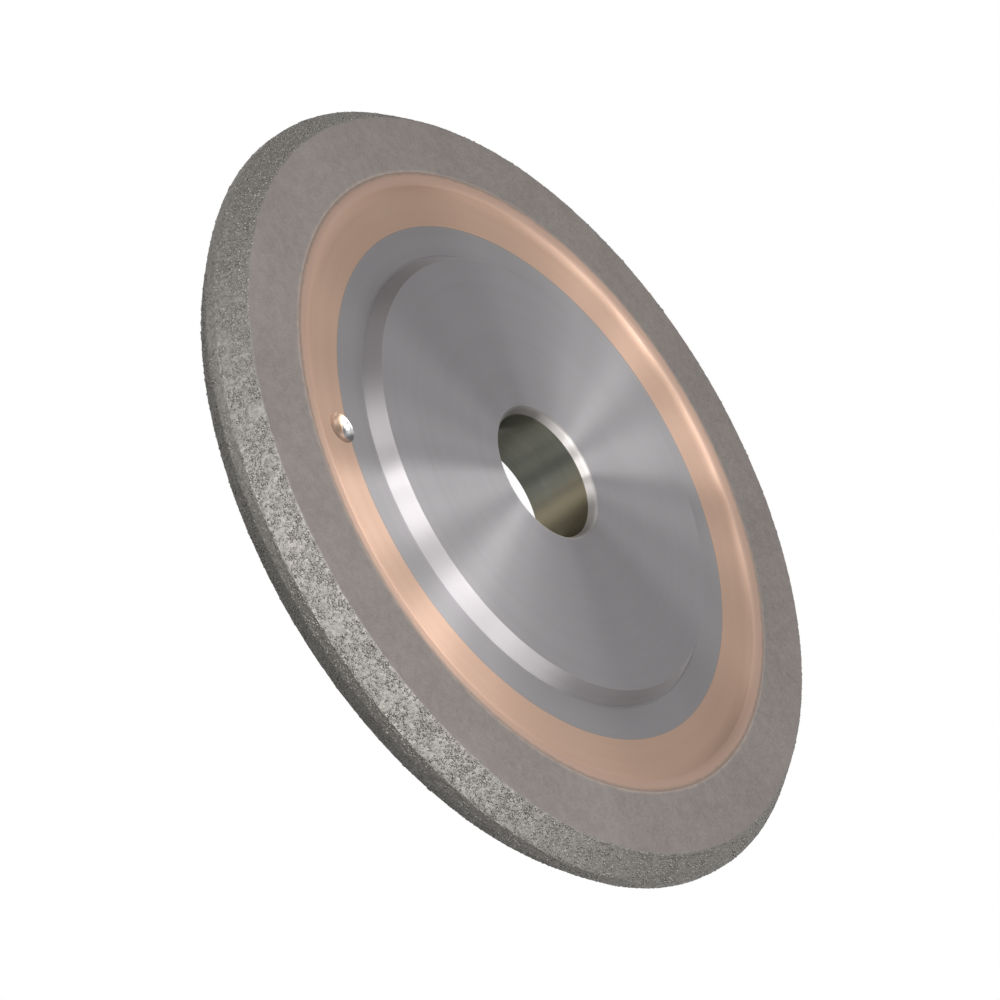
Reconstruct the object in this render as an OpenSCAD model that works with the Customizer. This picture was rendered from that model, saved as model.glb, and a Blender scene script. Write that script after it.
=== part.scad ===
// Diamond grinding wheel with a double-bevelled rim.
// A turned steel core carries a copper ring, and the copper ring carries the
// diamond rim. Two thin braze films hold the three rings together.
// The wheel's axis is Y. The marked face looks along -Y, and the origin is at
// the middle of the bore. Both faces have the same profile, apart from the
// wider lead-in chamfer at the back of the bore.

/* [Wheel] */
// Outside diameter, over the land between the two bevels
wheel_d = 125; // [120:1:160]
// Thickness of the rim at its inner edge, where it meets the copper ring
rim_t = 10; // [9:0.5:14]
// Diameter of the bore
bore_d = 20; // [12:0.5:32]

/* [Steel core] */
// Outside diameter of the steel core
core_d = 83; // [78:0.5:88]
// Thickness of the web, between the hub and the copper ring
web_t = 8; // [6:0.5:8.5]
// Thickness of the hub, over both raised seats
hub_t = 12.5; // [10:0.5:16]
// Diameter of the raised seat's flat face
seat_d = 69.7; // [50:0.1:71]
// Diameter of the raised seat where its flank meets the web
seat_base_d = 72.8; // [72:0.1:75]
// Width of the bore's front chamfer, measured on the radius
bore_chamfer_w = 0.6; // [0.2:0.1:1.5]
// Width of the bore's back chamfer, which is the lead-in for the arbor
back_chamfer_w = 2.1; // [0.6:0.1:3]
// Depth of both chamfers, measured along the axis
bore_chamfer_h = 1.25; // [0.2:0.05:2]

/* [Copper ring] */
// Outside diameter of the copper ring
ring_d = 100; // [98:0.2:110]
// Diameter where the ring's flat floor ends and its fillet starts
floor_d = 92.5; // [90:0.1:94]
// Inner diameter of the lip's flat face, where its rounded edge ends
lip_d = 98.7; // [97:0.1:99]
// Radius of the lip's rounded inner edge
lip_round = 2.4; // [0.5:0.1:3]

/* [Diamond rim] */
// Diameter where the rim's side face turns into the bevel
face_d = 119; // [112:0.5:119]
// Thickness of the rim between its two bevel edges
edge_t = 9.5; // [8:0.1:10]
// Width of the narrow land on the outside diameter
land_t = 1.7; // [0.4:0.1:3]

/* [Joints between the rings] */
// Thickness of each braze film
film_t = 0.1; // [0.05:0.01:0.3]
// Depth of the keying grooves turned in the core's rim
key_depth = 0.5; // [0.3:0.1:1]
// Width of each keying groove
key_w = 1.2; // [0.8:0.1:1.6]
// Distance between the two keying grooves, centre to centre
key_gap = 3.6; // [3:0.1:4]

/* [Balance dimple] */
// Diameter of the round-bottomed dimple at the web's surface
dimple_d = 4.6; // [3:0.1:6]
// Depth of the dimple at its middle
dimple_depth = 1.3; // [0.5:0.1:2]
// Radius from the wheel's axis to the middle of the dimple
dimple_r = 42.8; // [42:0.1:43.5]
// Place of the dimple round the axis, counted from +X towards +Z
dimple_a = 166.5; // [0:0.5:359.5]

/* [Hidden] */
$fn = 180;

wheel_r = wheel_d / 2;
core_r = core_d / 2;
ring_r = ring_d / 2;
floor_r = floor_d / 2;
lip_r = lip_d / 2;
web_h = web_t / 2;
hub_h = hub_t / 2;
rim_h = rim_t / 2;
edge_h = edge_t / 2;
land_h = land_t / 2;

// The floor rises to the lip along two arcs that meet at a tangent: a hollow
// fillet and the lip's rounded edge. climb_a is the slope where they meet.
climb_w = lip_r - floor_r;
climb_a = 2 * atan((rim_h - web_h) / climb_w);
fillet_r = climb_w / sin(climb_a) - lip_round;
climb_steps = 8;

// The ball that leaves a dimple of that diameter and depth.
ball_r = (dimple_d * dimple_d / 4 + dimple_depth * dimple_depth) / (2 * dimple_depth);

// Points of a half section: those of the front, then the same ones mirrored.
function back(p) = [for (i = [len(p) - 1 : -1 : 0]) p[i]];
function both(p) = concat(p, [for (q = back(p)) [q[0], -q[1]]]);

// Front half of the joint line between the core and the copper ring, from the
// web's surface to the mid plane. r is its radius, w the width of the groove.
function key_line(r, w) = [
    [r, web_h],
    [r, key_gap / 2 + w / 2],
    [r - key_depth, key_gap / 2 + w / 2],
    [r - key_depth, key_gap / 2 - w / 2],
    [r, key_gap / 2 - w / 2]
];

// Points from the floor up to the lip's flat face, on the front half.
function climb_line() = concat(
    [for (i = [0 : climb_steps])
        let (a = climb_a * i / climb_steps)
        [floor_r + fillet_r * sin(a), web_h + fillet_r * (1 - cos(a))]],
    [for (i = [climb_steps - 1 : -1 : 0])
        let (a = climb_a * i / climb_steps)
        [lip_r - lip_round * sin(a), rim_h - lip_round * (1 - cos(a))]]
);

// Turns a half section, drawn as radius and height, round the wheel's axis.
module turned(points) {
    rotate([90, 0, 0])
        rotate_extrude()
            polygon(points);
}

// The ball that cuts the dimple, sunk into the front face of the web.
module dimple() {
    rotate([0, -dimple_a, 0])
        translate([dimple_r, dimple_depth - web_h - ball_r, 0])
            sphere(r = ball_r);
}

// Steel core: bore, two raised seats, web and keyed rim.
module steel_core() {
    color([0.50, 0.50, 0.51])
    difference() {
        turned(concat(
            [
                [bore_d / 2, hub_h - bore_chamfer_h],
                [bore_d / 2 + bore_chamfer_w, hub_h]
            ],
            both(concat(
                [
                    [seat_d / 2, hub_h],
                    [seat_base_d / 2, web_h]
                ],
                key_line(core_r, key_w)
            )),
            [
                [bore_d / 2 + back_chamfer_w, -hub_h],
                [bore_d / 2, bore_chamfer_h - hub_h]
            ]
        ));
        dimple();
    }
}

// Braze film between the core and the copper ring. It follows the grooves.
module core_braze() {
    color([0.62, 0.45, 0.33])
    difference() {
        turned(concat(
            both(key_line(core_r + film_t, key_w - 2 * film_t)),
            back(both(key_line(core_r, key_w)))
        ));
        dimple();
    }
}

// Copper ring: flat floor, fillet and raised, rounded lip on both faces.
module copper_ring() {
    color([0.72, 0.52, 0.40])
    difference() {
        turned(concat(
            back(both(key_line(core_r + film_t, key_w - 2 * film_t))),
            both(concat(
                climb_line(),
                [[ring_r, rim_h]]
            ))
        ));
        dimple();
    }
}

// Braze film between the copper ring and the diamond rim.
module rim_braze() {
    color([0.60, 0.46, 0.36])
    turned([
        [ring_r, rim_h],
        [ring_r + film_t, rim_h],
        [ring_r + film_t, -rim_h],
        [ring_r, -rim_h]
    ]);
}

// Diamond rim: metal bond filled with diamond grit, bevelled on both sides.
module diamond_rim() {
    color([0.50, 0.48, 0.46])
    turned(both([
        [ring_r + film_t, rim_h],
        [face_d / 2, edge_h],
        [wheel_r, land_h]
    ]));
}

steel_core();
core_braze();
copper_ring();
rim_braze();
diamond_rim();
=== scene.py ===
import math

import bpy
import numpy as np
from mathutils import Matrix, Vector


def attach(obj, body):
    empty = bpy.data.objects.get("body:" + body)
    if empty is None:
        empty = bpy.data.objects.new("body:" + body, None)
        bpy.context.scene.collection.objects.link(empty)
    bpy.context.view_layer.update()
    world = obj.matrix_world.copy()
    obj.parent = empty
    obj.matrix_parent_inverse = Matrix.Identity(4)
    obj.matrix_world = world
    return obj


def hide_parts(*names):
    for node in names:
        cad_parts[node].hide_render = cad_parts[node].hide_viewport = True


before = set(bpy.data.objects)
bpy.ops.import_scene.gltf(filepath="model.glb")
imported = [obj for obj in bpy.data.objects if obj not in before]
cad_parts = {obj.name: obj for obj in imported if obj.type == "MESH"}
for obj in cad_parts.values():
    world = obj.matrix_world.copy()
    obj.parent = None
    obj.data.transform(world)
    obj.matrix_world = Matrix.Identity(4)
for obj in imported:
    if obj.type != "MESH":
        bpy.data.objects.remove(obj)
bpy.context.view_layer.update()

MM = 0.001

# ---------------------------------------------------------------- sizes, in mm
# The same numbers as the CAD model. A profile is a list of (radius, height),
# where height counts from the mid plane towards the marked face, which is -Y.
BORE_R, BORE_END, BORE_MOUTH, BACK_MOUTH = 10.0, 5.0, 10.6, 12.1
HUB_H, SEAT_R, SEAT_BASE_R = 6.25, 34.85, 36.4
WEB_H, CORE_R = 4.0, 41.5
FILM = 0.1
FLOOR_R, LIP_R, LIP_ROUND = 46.25, 49.35, 2.4
RING_R, RIM_H = 50.0, 5.0
FACE_R, EDGE_H, WHEEL_R, LAND_H = 59.5, 4.75, 62.5, 0.85
KEY_DEPTH, KEY_W, KEY_GAP = 0.5, 1.2, 3.6
DIMPLE_R, DIMPLE_A, DIMPLE_D, DIMPLE_DEPTH = 42.8, 166.5, 4.6, 1.3


# ---------------------------------------------------------------- camera
# The wheel's axis is 58.3 degrees away from the line of sight, and the long
# axis of its outline stands 59.4 degrees from the picture's horizontal.
def make_camera():
    tilt, lean, turn = math.radians(58.333), math.radians(59.444), math.radians(-76.0)
    m = Vector((math.cos(turn), 0, math.sin(turn)))
    e = Vector((-math.sin(turn), 0, math.cos(turn)))
    n = Vector((0, -1, 0))
    look = e * math.sin(tilt) - n * math.cos(tilt)
    up_minor = e * math.cos(tilt) + n * math.sin(tilt)
    right = m * math.cos(lean) + up_minor * math.sin(lean)
    down = m * math.sin(lean) - up_minor * math.cos(lean)
    k = 0.000146  # metres at the wheel for each unit of the frame's 1000
    reach = 4174.9
    target = n * WEB_H * MM
    place = target - (right * (536.94 - 500) + down * (478.57 - 500) + look * reach) * k
    data = bpy.data.cameras.new("camera")
    data.sensor_width = 36.0
    data.lens = reach * 36.0 / 1000.0
    data.clip_start, data.clip_end = 0.05, 50.0
    cam = bpy.data.objects.new("camera", data)
    bpy.context.scene.collection.objects.link(cam)
    rot = Matrix((right, -down, -look)).transposed()
    cam.matrix_world = Matrix.Translation(place) @ rot.to_4x4()
    bpy.context.scene.camera = cam


make_camera()


# ---------------------------------------------------------------- mesh helpers
def rounded(points, steps=5):
    """A closed outline of (r, z, radius) with each corner turned into an arc."""
    out = []
    count = len(points)
    for i, (r, z, rad) in enumerate(points):
        p = np.array((r, z), float)
        if rad <= 0:
            out.append(tuple(p))
            continue
        a = np.array(points[i - 1][:2], float) - p
        b = np.array(points[(i + 1) % count][:2], float) - p
        la, lb = np.linalg.norm(a), np.linalg.norm(b)
        a, b = a / la, b / lb
        half = math.acos(max(-1.0, min(1.0, float(a @ b)))) / 2
        if half > math.pi / 2 - 0.002:
            out.append(tuple(p))
            continue
        cut = min(rad / math.tan(half), la * 0.45, lb * 0.45)
        rad = cut * math.tan(half)
        mid = (a + b) / np.linalg.norm(a + b)
        centre = p + mid * rad / math.sin(half)
        s, t = p + a * cut - centre, p + b * cut - centre
        a0, a1 = math.atan2(s[1], s[0]), math.atan2(t[1], t[0])
        turn = (a1 - a0 + math.pi) % (2 * math.pi) - math.pi
        for j in range(steps + 1):
            q = a0 + turn * j / steps
            out.append((centre[0] + rad * math.cos(q), centre[1] + rad * math.sin(q)))
    return out


def densify(points, longest, closed=True):
    """Adds points along an outline, so that no stretch is longer than longest."""
    out = []
    count = len(points)
    for i in range(count if closed else count - 1):
        p, q = np.array(points[i][:2], float), np.array(points[(i + 1) % count][:2], float)
        parts = max(1, math.ceil(np.linalg.norm(q - p) / longest - 1e-6))
        for j in range(parts):
            out.append(tuple(p + (q - p) * j / parts))
    if not closed:
        out.append(tuple(points[-1][:2]))
    return out


def build_mesh(name, verts, faces):
    """A mesh object from an array of points in metres and an array of quads or triangles."""
    mesh = bpy.data.meshes.new(name)
    verts, faces = np.asarray(verts, np.float32), np.asarray(faces, np.int32)
    side = faces.shape[1]
    mesh.vertices.add(len(verts))
    mesh.vertices.foreach_set("co", verts.ravel())
    mesh.loops.add(faces.size)
    mesh.loops.foreach_set("vertex_index", faces.ravel())
    mesh.polygons.add(len(faces))
    mesh.polygons.foreach_set("loop_start", np.arange(0, faces.size, side, dtype=np.int32))
    mesh.polygons.foreach_set("loop_total", np.full(len(faces), side, np.int32))
    mesh.update(calc_edges=True)
    mesh.validate()
    obj = bpy.data.objects.new(name, mesh)
    bpy.context.scene.collection.objects.link(obj)
    return obj


def smooth(obj, angle=32.0):
    obj.data.polygons.foreach_set("use_smooth", np.ones(len(obj.data.polygons), bool))
    obj.data.set_sharp_from_angle(angle=math.radians(angle))


def ring_grid(profile, around, shift=None):
    """Points of a profile turned round the wheel's axis, in mm, as (profile, around, 3)."""
    prof = np.array(profile, float)
    ang = np.arange(around) / around * 2 * math.pi
    r = np.repeat(prof[:, 0][:, None], around, 1)
    z = np.repeat(prof[:, 1][:, None], around, 1)
    if shift is not None:
        r, z = r + shift[0], z + shift[1]
    return np.stack([r * np.cos(ang), -z, r * np.sin(ang)], -1)


def ring_faces(rows, around, closed=True):
    i = np.arange(rows if closed else rows - 1)
    j = np.arange(around)
    a = i[:, None] * around + j[None, :]
    b = i[:, None] * around + (j[None, :] + 1) % around
    c = ((i[:, None] + 1) % rows) * around + (j[None, :] + 1) % around
    d = ((i[:, None] + 1) % rows) * around + j[None, :]
    return np.stack([a, b, c, d], -1).reshape(-1, 4)


def lathe(name, profile, around, angle=32.0):
    """A closed outline turned into a closed solid of rings. The outline runs clockwise as seen with radius to the right and height up."""
    pts = ring_grid(profile, around)
    obj = build_mesh(name, pts.reshape(-1, 3) * MM, ring_faces(len(profile), around))
    smooth(obj, angle)
    return obj


def mirrored(half):
    """The whole outline from its front half."""
    return half + [(p[0], -p[1], *p[2:]) for p in reversed(half)]


def key_line(r, w):
    return [
        (r, WEB_H, 0),
        (r, KEY_GAP / 2 + w / 2, 0),
        (r - KEY_DEPTH, KEY_GAP / 2 + w / 2, 0),
        (r - KEY_DEPTH, KEY_GAP / 2 - w / 2, 0),
        (r, KEY_GAP / 2 - w / 2, 0),
    ]


def dimple_cutter():
    """The ball's part below the web's face, with a slightly broken edge, as a closed solid."""
    half = DIMPLE_D / 2
    ball = (half * half + DIMPLE_DEPTH * DIMPLE_DEPTH) / (2 * DIMPLE_DEPTH)
    top = math.asin((half - 0.05) / ball)
    prof = [(ball * math.sin(top * i / 16), ball - DIMPLE_DEPTH - ball * math.cos(top * i / 16)) for i in range(17)]
    prof += [(half + 0.03, 0.0), (half + 0.14, 0.16), (half + 0.14, 1.5), (0.0, 1.5)]
    around = 96
    verts, faces = [], []
    for r, z in prof:
        if r == 0:
            verts.append([(0, 0, z)])
        else:
            verts.append([(r * math.cos(2 * math.pi * j / around), r * math.sin(2 * math.pi * j / around), z) for j in range(around)])
    start = np.cumsum([0] + [len(v) for v in verts])
    for i in range(len(prof) - 1):
        a, b = start[i], start[i + 1]
        for j in range(around):
            k = (j + 1) % around
            if len(verts[i]) == 1:
                faces.append((a, b + k, b + j))
            elif len(verts[i + 1]) == 1:
                faces.append((a + j, a + k, b))
            else:
                faces.append((a + j, a + k, b + k, b + j))
    mesh = bpy.data.meshes.new("dimple_cutter")
    mesh.from_pydata([v for ring in verts for v in ring], [], [tuple(int(x) for x in f) for f in faces])
    out = bpy.data.objects.new("dimple_cutter", mesh)
    bpy.context.scene.collection.objects.link(out)
    ang = math.radians(DIMPLE_A)
    place = Vector((DIMPLE_R * math.cos(ang), -WEB_H, DIMPLE_R * math.sin(ang)))
    m = Matrix.Translation(place * MM) @ Matrix.Rotation(math.radians(90), 4, "X") @ Matrix.Scale(MM, 4)
    mesh.transform(m)
    mesh.update()
    return out


def cut(obj, cutter):
    mod = obj.modifiers.new("dimple", "BOOLEAN")
    mod.operation, mod.solver, mod.object = "DIFFERENCE", "EXACT", cutter
    dg = bpy.context.evaluated_depsgraph_get()
    made = bpy.data.meshes.new_from_object(obj.evaluated_get(dg))
    obj.modifiers.remove(mod)
    old = obj.data
    obj.data = made
    bpy.data.meshes.remove(old)
    smooth(obj)


# ---------------------------------------------------------------- pieces
def waves(r, parts):
    """A sum of fine waves along the radius, in mm: the steps that a lathe tool leaves."""
    return sum(a * math.sin(2 * math.pi * r / w + p) for a, w, p in parts)


def turned_marks(points, inside, outside, parts):
    """Adds tool waves to the points on the two faces between two radii."""
    out = []
    for r, z in points:
        fade = min(1.0, max(0.0, (r - inside) / 0.4), max(0.0, (outside - r) / 0.4))
        out.append((r, z + math.copysign(fade * waves(r, parts), z)))
    return out


def make_core():
    side = [
        (SEAT_R, HUB_H, 0.06),
        (SEAT_BASE_R - 0.06, WEB_H + 0.06, 0.05),
        (SEAT_BASE_R + 0.02, WEB_H - 0.09, 0.05),
        (SEAT_BASE_R + 0.16, WEB_H - 0.09, 0.05),
        (SEAT_BASE_R + 0.30, WEB_H, 0.06),
    ] + key_line(CORE_R, KEY_W)
    front = [(BORE_R, BORE_END, 0.15), (BORE_MOUTH, HUB_H, 0.85)]
    back = [(BACK_MOUTH, -HUB_H, 0.3), (BORE_R, -BORE_END, 0.2)]
    return lathe("core", densify(rounded(front + mirrored(side) + back, 6), 1.5), 540)


def make_core_film():
    outer = mirrored(key_line(CORE_R + FILM, KEY_W - 2 * FILM))
    inner = mirrored(key_line(CORE_R, KEY_W))
    return lathe("core_film", [p[:2] for p in outer + inner[::-1]], 540)


def climb_points(steps=14):
    """From the copper floor up to the lip's flat face: a hollow fillet, then the lip's rounded edge."""
    wide = LIP_R - FLOOR_R
    steep = 2 * math.atan((RIM_H - WEB_H) / wide)
    rad = wide / math.sin(steep) - LIP_ROUND
    turns = [steep * i / steps for i in range(steps + 1)]
    up = [(FLOOR_R + rad * math.sin(q), WEB_H + rad * (1 - math.cos(q))) for q in turns]
    over = [(LIP_R - LIP_ROUND * math.sin(q), RIM_H - LIP_ROUND * (1 - math.cos(q))) for q in reversed(turns[:-1])]
    return up + over


def make_ring():
    key = key_line(CORE_R + FILM, KEY_W - 2 * FILM)
    face = densify([key[0][:2]] + climb_points() + [(RING_R, RIM_H)], 0.16, closed=False)
    outline = mirrored(face) + [p[:2] for p in mirrored(key[1:])[::-1]]
    marks = ((0.0026, 1.63, 0.4), (0.0022, 0.81, 1.9), (0.0013, 0.39, 0.0))
    return lathe("ring", turned_marks(outline, CORE_R + FILM, LIP_R - 0.4, marks), 540)


def make_rim_film():
    return lathe("rim_film", [(RING_R, RIM_H), (RING_R + FILM, RIM_H), (RING_R + FILM, -RIM_H), (RING_R, -RIM_H)], 540)


def rough_field(rows, around, across, along, seed):
    """Seeded noise on a grid that wraps round, blurred to grains of the given size in grid steps, with a spread of 1."""
    gen = np.random.default_rng(seed)
    field = gen.standard_normal((rows, around))
    fy, fx = np.fft.fftfreq(rows)[:, None], np.fft.fftfreq(around)[None, :]
    soft = np.exp(-2 * math.pi**2 * ((fy * across) ** 2 + (fx * along) ** 2))
    field = np.real(np.fft.ifft2(np.fft.fft2(field) * soft))
    return field / field.std()


def outline_normals(prof):
    """Outward directions of a closed outline that runs from the front's inner edge outwards and round to the back."""
    step = np.roll(prof, -1, 0) - np.roll(prof, 1, 0)
    step /= np.linalg.norm(step, axis=1)[:, None] + 1e-12
    return np.stack([-step[:, 1], step[:, 0]], 1)


RIM_IN = RING_R + FILM


def make_rim():
    half = [(RIM_IN, RIM_H, 0), (FACE_R, EDGE_H, 0.35), (WHEEL_R, LAND_H, 0.45)]
    edge = rounded(mirrored(half), 5)
    start = next(i for i, p in enumerate(edge) if abs(p[0] - RIM_IN) < 1e-9 and p[1] > 0)
    edge = edge[start:] + edge[:start]
    outer = densify([p for p in edge], 0.42, closed=False)
    prof = np.array(outer + [(RIM_IN, -RIM_H / 3), (RIM_IN, RIM_H / 3)])
    around = 960
    rows = len(prof)
    out = outline_normals(prof)
    bevel = np.clip((prof[:, 0] - FACE_R + 0.15) / 0.3, 0, 1)
    inner = np.clip((prof[:, 0] - RIM_IN) / 0.5, 0, 1)
    size = inner * (0.012 + 0.014 * bevel)
    field = 0.75 * rough_field(rows, around, 0.45, 0.45, 31) + 0.65 * rough_field(rows, around, 1.3, 1.3, 32)
    low = np.clip(field, -2.4, 2.0) * size[:, None] - 0.02 * inner[:, None]
    pts = ring_grid(prof, around, (low * out[:, :1], low * out[:, 1:]))
    obj = build_mesh("rim", pts.reshape(-1, 3) * MM, ring_faces(rows, around))
    smooth(obj, 60)
    return obj


def make_grit(name, start, end, pitch, size, seed, flip=1.0):
    """Diamond grains along a straight stretch of the rim's outline. Each grain is a closed, uneven crystal of six facets, sunk about half way into the bond."""
    gen = np.random.default_rng(seed)
    p0, p1 = np.array(start, float), np.array(end, float)
    run = p1 - p0
    length = np.linalg.norm(run)
    run /= length
    nrm = np.array((-run[1], run[0])) * flip
    mean_r = (p0[0] + p1[0]) / 2
    rows = max(1, round(length / pitch))
    around = round(2 * math.pi * mean_r / pitch)
    s = (np.arange(rows)[:, None] + 0.5 + gen.uniform(-0.46, 0.46, (rows, around))) / rows * length
    t = (np.arange(around)[None, :] + 0.5 * (np.arange(rows)[:, None] % 2) + gen.uniform(-0.46, 0.46, (rows, around))) / around * 2 * math.pi
    s, t = s.ravel(), t.ravel()
    keep = gen.uniform(size=len(s)) < 0.93
    s, t = s[keep], t[keep]
    count = len(s)
    rr, zz = p0[0] + run[0] * s, p0[1] + run[1] * s
    big = size * np.clip(gen.lognormal(0.0, 0.26, count), 0.5, 1.75)
    # five corners of a three sided double pyramid
    ang = gen.uniform(0, 2 * math.pi, count)[:, None] + np.array([0, 2.1, 4.2])[None, :] + gen.uniform(-0.45, 0.45, (count, 3))
    wide = gen.uniform(0.75, 1.2, (count, 3))
    local = np.zeros((count, 5, 3))
    local[:, :3, 0], local[:, :3, 1] = np.cos(ang) * wide, np.sin(ang) * wide
    local[:, :3, 2] = gen.uniform(-0.12, 0.10, (count, 3))
    local[:, 3] = np.stack([gen.uniform(-0.45, 0.45, count), gen.uniform(-0.45, 0.45, count), gen.uniform(0.22, 0.40, count)], 1)
    local[:, 4] = np.stack([gen.uniform(-0.3, 0.3, count), gen.uniform(-0.3, 0.3, count), np.full(count, -0.9)], 1)
    local *= big[:, None, None] * 0.5
    sink = gen.uniform(-0.10, 0.0, count) * size
    ct, st = np.cos(t), np.sin(t)
    rad = np.stack([ct, np.zeros(count), st], 1)
    tan = np.stack([-st, np.zeros(count), ct], 1)
    axis = np.array((0.0, -1.0, 0.0))
    along = rad * run[0] + axis * run[1]
    up = rad * nrm[0] + axis * nrm[1]
    base = rad * rr[:, None] + axis * zz[:, None] + up * sink[:, None]
    pts = base[:, None, :] + local[..., :1] * tan[:, None, :] + local[..., 1:2] * along[:, None, :] + local[..., 2:] * up[:, None, :]
    faces = np.array([(0, 1, 3), (1, 2, 3), (2, 0, 3), (1, 0, 4), (2, 1, 4), (0, 2, 4)])
    if np.dot(np.cross(tan[0], along[0]), up[0]) < 0:
        faces = faces[:, ::-1]
    every = (np.arange(count) * 5)[:, None, None] + faces[None]
    return build_mesh(name, pts.reshape(-1, 3) * MM, every.reshape(-1, 3))


core, core_film, ring, rim_film, rim = make_core(), make_core_film(), make_ring(), make_rim_film(), make_rim()
cutter = dimple_cutter()
for piece in (core, core_film, ring):
    cut(piece, cutter)
bpy.data.objects.remove(cutter)

GRIT, PITCH = 0.50, 0.34
front_grit = make_grit("grit_front_bevel", (FACE_R + 0.1, EDGE_H - 0.12), (WHEEL_R - 0.1, LAND_H + 0.12), PITCH, GRIT, 51)
back_grit = make_grit("grit_back_bevel", (FACE_R + 0.1, -EDGE_H + 0.12), (WHEEL_R - 0.1, -LAND_H - 0.12), PITCH, GRIT, 52, -1.0)
land_grit = make_grit("grit_land", (WHEEL_R - 0.03, LAND_H - 0.05), (WHEEL_R - 0.03, -LAND_H + 0.05), PITCH, GRIT, 53)


# ---------------------------------------------------------------- node helpers
def put(nt, socket, value):
    if isinstance(value, bpy.types.NodeSocket):
        nt.links.new(value, socket)
    else:
        socket.default_value = value


def maths(nt, op, *args):
    nd = nt.nodes.new("ShaderNodeMath")
    nd.operation = op
    for i, v in enumerate(args):
        put(nt, nd.inputs[i], v)
    return nd.outputs[0]


def vmaths(nt, op, a, b=None, out="Vector"):
    nd = nt.nodes.new("ShaderNodeVectorMath")
    nd.operation = op
    put(nt, nd.inputs[0], a)
    if b is not None:
        put(nt, nd.inputs[1], b)
    return nd.outputs[out]


def spread(nt, value, lo, hi, to_lo, to_hi, smoothly=False):
    nd = nt.nodes.new("ShaderNodeMapRange")
    if smoothly:
        nd.interpolation_type = "SMOOTHSTEP"
    put(nt, nd.inputs["Value"], value)
    for name, v in (("From Min", lo), ("From Max", hi), ("To Min", to_lo), ("To Max", to_hi)):
        put(nt, nd.inputs[name], v)
    return nd.outputs[0]


def speckle(nt, vector, scale, detail=2.0, rough=0.5):
    nd = nt.nodes.new("ShaderNodeTexNoise")
    nt.links.new(vector, nd.inputs["Vector"])
    nd.inputs["Scale"].default_value = scale
    nd.inputs["Detail"].default_value = detail
    nd.inputs["Roughness"].default_value = rough
    return nd.outputs["Fac"]


def blend(nt, fac, a, b):
    nd = nt.nodes.new("ShaderNodeMix")
    nd.data_type = "RGBA"
    put(nt, nd.inputs[0], fac)
    for i, v in ((6, a), (7, b)):
        put(nt, nd.inputs[i], (*v, 1.0) if isinstance(v, tuple) and len(v) == 3 else v)
    return nd.outputs[2]


def tint(colour, by):
    return tuple(min(1.0, c * by) for c in colour)


def bump(nt, b, height, metres, strength=1.0):
    nd = nt.nodes.new("ShaderNodeBump")
    nd.inputs["Strength"].default_value = strength
    nd.inputs["Distance"].default_value = metres
    nt.links.new(height, nd.inputs["Height"])
    nt.links.new(nd.outputs[0], b.inputs["Normal"])


# ---------------------------------------------------------------- materials
def new_material(name):
    mat = bpy.data.materials.new(name)
    mat.use_nodes = True
    nt = mat.node_tree
    for nd in list(nt.nodes):
        if nd.type != "OUTPUT_MATERIAL":
            nt.nodes.remove(nd)
    out = nt.nodes["Material Output"]
    bsdf = nt.nodes.new("ShaderNodeBsdfPrincipled")
    nt.links.new(bsdf.outputs[0], out.inputs[0])
    return mat, nt, bsdf


def place(nt, centre=None):
    """Object coordinates, the radius from the wheel's axis, or from a parallel one through centre, and the direction round it."""
    tex = nt.nodes.new("ShaderNodeTexCoord").outputs["Object"]
    if centre:
        tex = vmaths(nt, "SUBTRACT", tex, centre)
    flat = vmaths(nt, "MULTIPLY", tex, (1, 0, 1))
    return tex, vmaths(nt, "LENGTH", flat, out="Value"), vmaths(nt, "NORMALIZE", flat)


def round_lines(nt, tex, r, way, pitch, turns):
    """Coordinates in which noise becomes lines that run round the axis: one unit is a pitch across and a share of a turn along."""
    y = vmaths(nt, "DOT_PRODUCT", tex, (0, 1, 0), out="Value")
    across = maths(nt, "MULTIPLY", maths(nt, "ADD", r, y), 1.0 / pitch)
    nd = nt.nodes.new("ShaderNodeCombineXYZ")
    nt.links.new(across, nd.inputs[1])
    return vmaths(nt, "ADD", scaled(nt, way, turns), nd.outputs[0])


def scaled(nt, vector, by):
    nd = nt.nodes.new("ShaderNodeVectorMath")
    nd.operation = "SCALE"
    nt.links.new(vector, nd.inputs[0])
    nd.inputs["Scale"].default_value = by
    return nd.outputs["Vector"]


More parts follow.
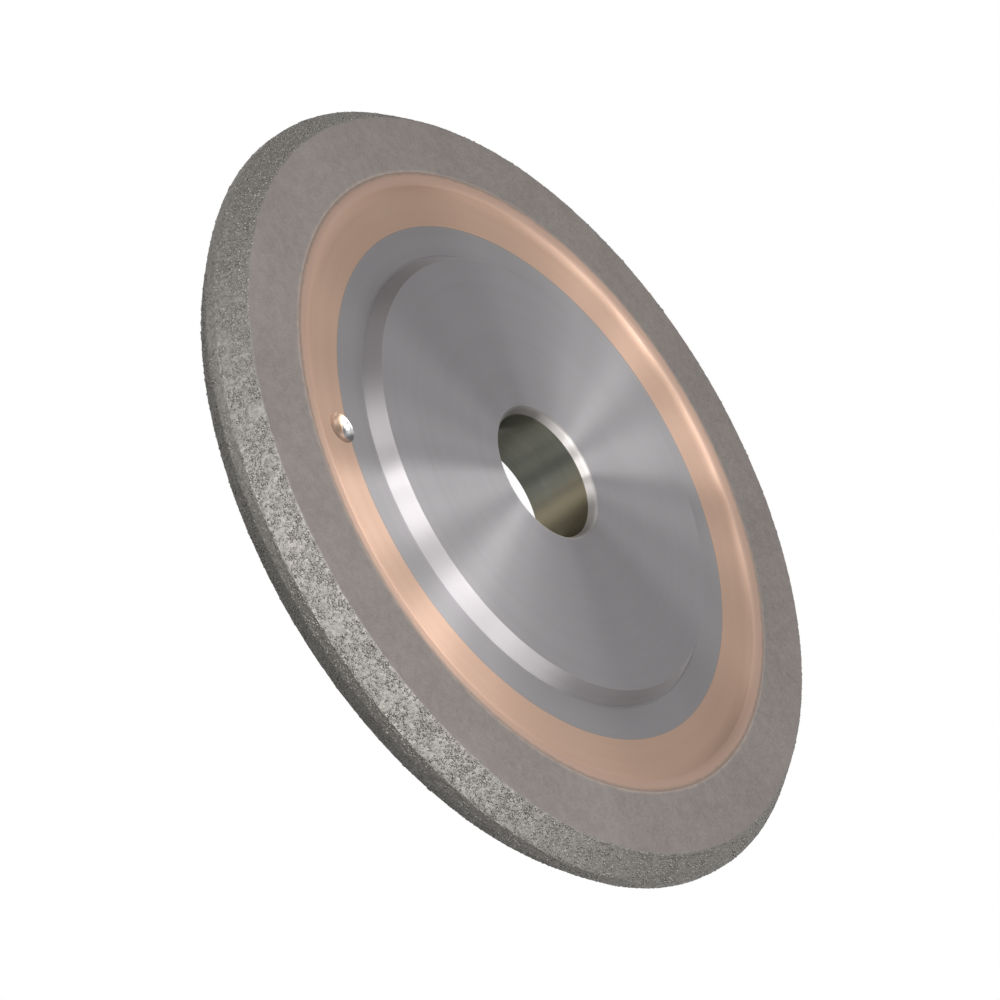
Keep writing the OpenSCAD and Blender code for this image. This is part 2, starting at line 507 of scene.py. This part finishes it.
def turned_metal(name, dark, light, rough, aniso, fine=0.00017, wide=0.0011, depth=0.0000016, uneven=0.03, shaded_side=None, edge=None, centre=None):
    """Lathe turned metal: lines round the axis in its colour, gloss and surface, and a highlight drawn out across them."""
    mat, nt, b = new_material(name)
    tex, r, way = place(nt, centre)
    lines = speckle(nt, round_lines(nt, tex, r, way, fine, 3.0), 1.0, 3.0, 0.6)
    bands = speckle(nt, round_lines(nt, tex, r, way, wide, 0.6), 1.0, 1.0)
    cloud = speckle(nt, tex, 55.0, 2.0)
    worn = maths(nt, "ADD", maths(nt, "MULTIPLY", lines, 0.45), maths(nt, "MULTIPLY", bands, 0.55))
    colour = blend(nt, spread(nt, worn, 0.32, 0.68, 0.0, 1.0), dark, light)
    if shaded_side:
        # painted shade: one side is painted darker; its direction from the axis, and the colour there
        side = vmaths(nt, "DOT_PRODUCT", way, shaded_side[0], out="Value")
        drift = maths(nt, "ADD", side, maths(nt, "MULTIPLY", maths(nt, "SUBTRACT", cloud, 0.5), 0.5))
        colour = blend(nt, spread(nt, drift, 0.05, 0.55, 0.0, 1.0, True), colour, shaded_side[1])
    if edge:
        # the bond has been smeared over the outer edge when the faces were dressed
        drift = maths(nt, "ADD", r, maths(nt, "MULTIPLY", maths(nt, "SUBTRACT", speckle(nt, tex, 900.0, 2.0), 0.5), 0.0005))
        colour = blend(nt, spread(nt, drift, edge[0], edge[1], 0.0, edge[3], True), colour, edge[2])
    nt.links.new(colour, b.inputs["Base Color"])
    gloss = maths(nt, "ADD", maths(nt, "MULTIPLY", lines, 0.5), maths(nt, "MULTIPLY", cloud, 0.5))
    nt.links.new(spread(nt, gloss, 0.3, 0.7, rough - uneven, rough + uneven), b.inputs["Roughness"])
    b.inputs["Metallic"].default_value = 1.0
    b.inputs["Anisotropic"].default_value = aniso
    if aniso and not centre:
        b.inputs["Anisotropic Rotation"].default_value = 0.25
        tan = nt.nodes.new("ShaderNodeTangent")
        tan.direction_type, tan.axis = "RADIAL", "Y"
        nt.links.new(tan.outputs[0], b.inputs["Tangent"])
    bump(nt, b, lines, depth)
    return mat


WORM = ((0.238, 0.224, 0.207), (0.338, 0.321, 0.299))


def worm(nt, tex):
    """The dressed bevels' grain: light and dark lumps about half a millimetre across."""
    lumps = speckle(nt, tex, 2050.0, 1.0, 0.4)
    return spread(nt, lumps, 0.34, 0.66, 0.0, 1.0)


def bond_material(name):
    """Sintered metal bond: a fine salt and pepper grain, coarser on the bevels, with pits where grains have left."""
    mat, nt, b = new_material(name)
    tex, r, way = place(nt)
    fine = speckle(nt, tex, 3600.0, 2.0, 0.6)
    coarse = speckle(nt, tex, 1500.0, 2.0, 0.55)
    cloud = speckle(nt, tex, 70.0, 3.0, 0.6)
    grain = maths(nt, "ADD", maths(nt, "MULTIPLY", fine, 0.55), maths(nt, "MULTIPLY", coarse, 0.45))
    tone = maths(nt, "ADD", maths(nt, "MULTIPLY", grain, 0.75), maths(nt, "MULTIPLY", cloud, 0.25))
    colour = blend(nt, spread(nt, tone, 0.36, 0.64, 0.0, 1.0), (0.218, 0.192, 0.181), (0.318, 0.283, 0.266))
    # patches of the bond, about a millimetre across, are a little darker or browner
    patch = speckle(nt, tex, 750.0, 3.0, 0.6)
    colour = blend(nt, spread(nt, patch, 0.46, 0.66, 0.0, 0.20, True), colour, (0.205, 0.178, 0.160))
    colour = blend(nt, spread(nt, patch, 0.54, 0.36, 0.0, 0.18, True), colour, (0.345, 0.325, 0.300))
    # copper dragged over the joint when the faces were dressed
    drift = maths(nt, "ADD", r, maths(nt, "MULTIPLY", maths(nt, "SUBTRACT", patch, 0.5), 0.0006))
    colour = blend(nt, spread(nt, drift, 0.0499, 0.0507, 0.42, 0.0, True), colour, (0.60, 0.46, 0.38))
    bevel = spread(nt, r, 0.0593, 0.0597, 0.0, 1.0, True)
    colour = blend(nt, bevel, colour, blend(nt, worm(nt, tex), *WORM))
    nt.links.new(colour, b.inputs["Base Color"])
    gloss = maths(nt, "SUBTRACT", spread(nt, grain, 0.35, 0.65, 0.72, 0.56), maths(nt, "MULTIPLY", bevel, 0.12))
    nt.links.new(gloss, b.inputs["Roughness"])
    nt.links.new(maths(nt, "MULTIPLY_ADD", bevel, 0.25, 0.45), b.inputs["Metallic"])
    bump(nt, b, grain, 0.00003, 0.8)
    return mat


def grit_material(name):
    """Diamond grains: clear grey to straw crystals, glossy, each a little different."""
    mat, nt, b = new_material(name)
    tex = nt.nodes.new("ShaderNodeTexCoord").outputs["Object"]
    each = speckle(nt, tex, 2300.0, 0.0)
    colour = blend(nt, worm(nt, tex), *WORM)
    colour = blend(nt, spread(nt, each, 0.36, 0.64, 0.0, 0.25), colour, (0.385, 0.370, 0.347))
    nt.links.new(colour, b.inputs["Base Color"])
    nt.links.new(spread(nt, each, 0.35, 0.65, 0.60, 0.48), b.inputs["Roughness"])
    b.inputs["Metallic"].default_value = 0.7
    b.inputs["IOR"].default_value = 1.9
    bump(nt, b, speckle(nt, tex, 9000.0, 1.0), 0.000006, 0.6)
    return mat


STEEL = (0.560, 0.541, 0.556)
DIMPLE = (DIMPLE_R * MM * math.cos(math.radians(DIMPLE_A)), 0.0, DIMPLE_R * MM * math.sin(math.radians(DIMPLE_A)))
steel_mat = turned_metal("turned_steel", tint(STEEL, 0.975), tint(STEEL, 1.025), 0.40, 1.0)
# painted highlight: the chamfers' steel is painted lighter than the turned steel, with painted shade on one side
eased_light_mat = turned_metal("eased_edge_painted_light", (0.70, 0.665, 0.645), (0.75, 0.71, 0.69), 0.39, 1.0, fine=0.0002, shaded_side=((-0.407, 0.0, 0.913), (0.40, 0.38, 0.37)))
# painted shade: the bore's wall is painted dark greenish steel, darker and browner on one side, for the shade inside
# the bore
bore_shade_mat = turned_metal("ground_bore_painted_shade", (0.200, 0.205, 0.170), (0.250, 0.254, 0.215), 0.37, 1.0, fine=0.00025, wide=0.002, shaded_side=((0.242, 0.0, -0.970), (0.28, 0.244, 0.167)))
copper_mat = turned_metal("turned_copper", (0.93, 0.635, 0.483), (0.97, 0.685, 0.533), 0.40, 1.0, fine=0.0002, wide=0.0013, depth=0.000002)
lip_mat = turned_metal("dressed_copper", (0.88, 0.615, 0.485), (0.94, 0.67, 0.535), 0.44, 0.85, fine=0.0003, wide=0.0013, depth=0.000003, uneven=0.04, edge=(0.0493, 0.0503, (0.44, 0.365, 0.325), 0.85))
braze_mat = turned_metal("braze", (0.53, 0.425, 0.365), (0.59, 0.475, 0.405), 0.44, 0.7, fine=0.0002, wide=0.002)
# painted shade: the dimple's steel is painted darker than the turned steel round it
drilled_steel_painted_shade = turned_metal("drilled_steel_painted_shade", (0.36, 0.355, 0.36), (0.46, 0.455, 0.46), 0.25, 0.0, fine=0.00022, wide=0.0009, depth=0.000004, uneven=0.06, centre=DIMPLE)
drilled_copper = turned_metal("drilled_copper", (0.74, 0.50, 0.37), (0.88, 0.64, 0.49), 0.30, 0.0, fine=0.00022, wide=0.0009, depth=0.000004, uneven=0.06, centre=DIMPLE)
bond_mat = bond_material("diamond_bond")
grit_mat = grit_material("diamond_grit")


def dress(obj, mats, choose=None):
    """Gives a piece its materials. choose maps each face's radius, height and distance from the dimple's axis, in mm, to a slot."""
    mesh = obj.data
    mesh.materials.clear()
    for mat in mats:
        mesh.materials.append(mat)
    if choose is not None:
        mid = np.zeros(len(mesh.polygons) * 3, np.float32)
        mesh.polygons.foreach_get("center", mid)
        mid = mid.reshape(-1, 3) / MM
        far = np.hypot(mid[:, 0] - DIMPLE[0] / MM, mid[:, 2] - DIMPLE[2] / MM)
        slots = choose(np.hypot(mid[:, 0], mid[:, 2]), -mid[:, 1], far)
        mesh.polygons.foreach_set("material_index", slots.astype(np.int32))


def in_dimple(h, far):
    return (far < DIMPLE_D / 2 + 0.1) & (h > 0) & (h < WEB_H - 0.012)


def core_slots(r, h, far):
    # the chamfers' faces, which carry the painted highlight
    eased_painted_light = (r < BORE_MOUTH + 0.30) & (h > BORE_END + 0.05) | (r < BACK_MOUTH + 0.2) & (h < -BORE_END - 0.1)
    # slot 1, the bore's wall, carries painted shade
    return np.select([in_dimple(h, far), (r < BORE_R + 0.05) & (np.abs(h) < BORE_END + 0.1), eased_painted_light], [2, 1, 3], 0)


dress(core, [steel_mat, bore_shade_mat, drilled_steel_painted_shade, eased_light_mat], core_slots)
dress(core_film, [braze_mat])
dress(ring, [copper_mat, lip_mat, drilled_copper], lambda r, h, far: np.select([in_dimple(h, far), (r > 48.05) & (np.abs(h) > 4.5)], [2, 1], 0))
dress(rim_film, [braze_mat])
dress(rim, [bond_mat])
for obj in (front_grit, back_grit, land_grit):
    dress(obj, [grit_mat])
    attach(obj, "root")

for obj, node, slot in (
    (core, "steel_core", "turned_steel"),
    (core_film, "core_braze", "braze"),
    (ring, "copper_ring", "copper"),
    (rim_film, "rim_braze", "braze"),
    (rim, "diamond_rim", "diamond_bond"),
):
    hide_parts(node)
    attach(obj, "root")


# ---------------------------------------------------------------- stage and light
def make_floor():
    size = 12.0
    mesh = bpy.data.meshes.new("floor")
    mesh.from_pydata([(-size, -size, 0), (size, -size, 0), (size, size, 0), (-size, size, 0)], [], [(0, 1, 2, 3)])
    obj = bpy.data.objects.new("floor", mesh)
    obj.location = (0, 0, -0.32)
    bpy.context.scene.collection.objects.link(obj)
    mat, nt, b = new_material("floor_paint")
    tex = nt.nodes.new("ShaderNodeTexCoord").outputs["Object"]
    nt.links.new(blend(nt, speckle(nt, tex, 9.0, 3.0), (0.80, 0.80, 0.80), (0.86, 0.86, 0.86)), b.inputs["Base Color"])
    b.inputs["Roughness"].default_value = 0.9
    b.inputs["Emission Color"].default_value = (1.0, 1.0, 1.0, 1.0)
    b.inputs["Emission Strength"].default_value = 0.22
    mesh.materials.append(mat)
    # The lamps below the floor's level shine through it.
    obj.visible_diffuse = obj.visible_glossy = obj.visible_transmission = obj.visible_shadow = False


make_floor()

# Directions below are in the wheel's own axes: along the long axis of its
# outline, along the short axis, and out of the marked face.
def aim(a, b, c):
    turn = math.radians(-76.0)
    m = Vector((math.cos(turn), 0, math.sin(turn)))
    e = Vector((-math.sin(turn), 0, math.cos(turn)))
    n = Vector((0, -1, 0))
    return (m * a + e * b + n * c).normalized()


# Round soft boxes that stand 0.38 m from the wheel: direction, radius in metres
# and brightness.
SOFT_BOXES = (
    (-0.40, -0.54, 0.74, 0.028, 24.0),
    (-0.15, -0.58, 0.80, 0.075, 5.50),
    (0.34, -0.46, 0.82, 0.060, 6.90),
    (0.20, -0.60, 0.78, 0.075, 4.10),
    (-0.24, -0.78, 0.58, 0.075, 2.47),
)
# The tent's far glow: direction, how tight it is, and its strength.
GLOW = (
    (0.65, -0.44, 0.62, 40, 5.07),
    (-0.73, -0.56, 0.38, 40, 2.33),
    (0.84, -0.14, 0.52, 40, 2.20),
    (-0.69, -0.19, 0.70, 40, 1.77),
    (0.59, 0.46, 0.67, 40, 1.01),
    (-0.58, 0.43, 0.69, 40, 0.97),
    (0.09, 0.97, 0.24, 10, 0.39),
    (-0.78, -0.38, -0.50, 10, 1.19),
    (0.40, 0.70, -0.59, 10, 0.85),
    (-0.45, 0.70, -0.56, 20, 1.0),
)
AMBIENT = 0.214


def make_soft_boxes():
    for i, (a, b, c, radius, bright) in enumerate(SOFT_BOXES):
        light = bpy.data.lights.new(f"soft_box_{i}", "AREA")
        light.shape, light.size = "DISK", 2 * radius
        light.energy = bright * POWER * math.pi * radius * radius
        lamp = bpy.data.objects.new(light.name, light)
        d = aim(a, b, c)
        lamp.location = d * 0.38
        lamp.rotation_euler = d.to_track_quat("Z", "Y").to_euler()
        lamp.visible_camera = False
        bpy.context.scene.collection.objects.link(lamp)


def make_world():
    world = bpy.data.worlds.new("studio")
    bpy.context.scene.world = world
    world.use_nodes = True
    nt = world.node_tree
    nt.nodes.clear()
    out = nt.nodes.new("ShaderNodeOutputWorld")
    seen = nt.nodes.new("ShaderNodeBackground")
    seen.inputs[0].default_value = (1, 1, 1, 1)
    seen.inputs[1].default_value = 1.0
    way = nt.nodes.new("ShaderNodeTexCoord").outputs["Generated"]
    total = AMBIENT
    for a, b, c, tight, power in GLOW:
        near = vmaths(nt, "DOT_PRODUCT", way, tuple(aim(a, b, c)), out="Value")
        glow = maths(nt, "EXPONENT", maths(nt, "MULTIPLY_ADD", near, float(tight), -float(tight)))
        total = maths(nt, "MULTIPLY_ADD", glow, power, total)
    light = nt.nodes.new("ShaderNodeBackground")
    light.inputs[0].default_value = (1, 1, 1, 1)
    nt.links.new(total, light.inputs[1])
    path = nt.nodes.new("ShaderNodeLightPath")
    mix = nt.nodes.new("ShaderNodeMixShader")
    nt.links.new(path.outputs["Is Camera Ray"], mix.inputs[0])
    nt.links.new(light.outputs[0], mix.inputs[1])
    nt.links.new(seen.outputs[0], mix.inputs[2])
    nt.links.new(mix.outputs[0], out.inputs[0])


POWER = math.pi  # watts for a brightness of 1, for each square metre
make_soft_boxes()
make_world()
scene = bpy.context.scene
scene.view_settings.view_transform = "Standard"
scene.view_settings.look = "None"
scene.view_settings.exposure = 0.0
scene.view_settings.gamma = 1.0
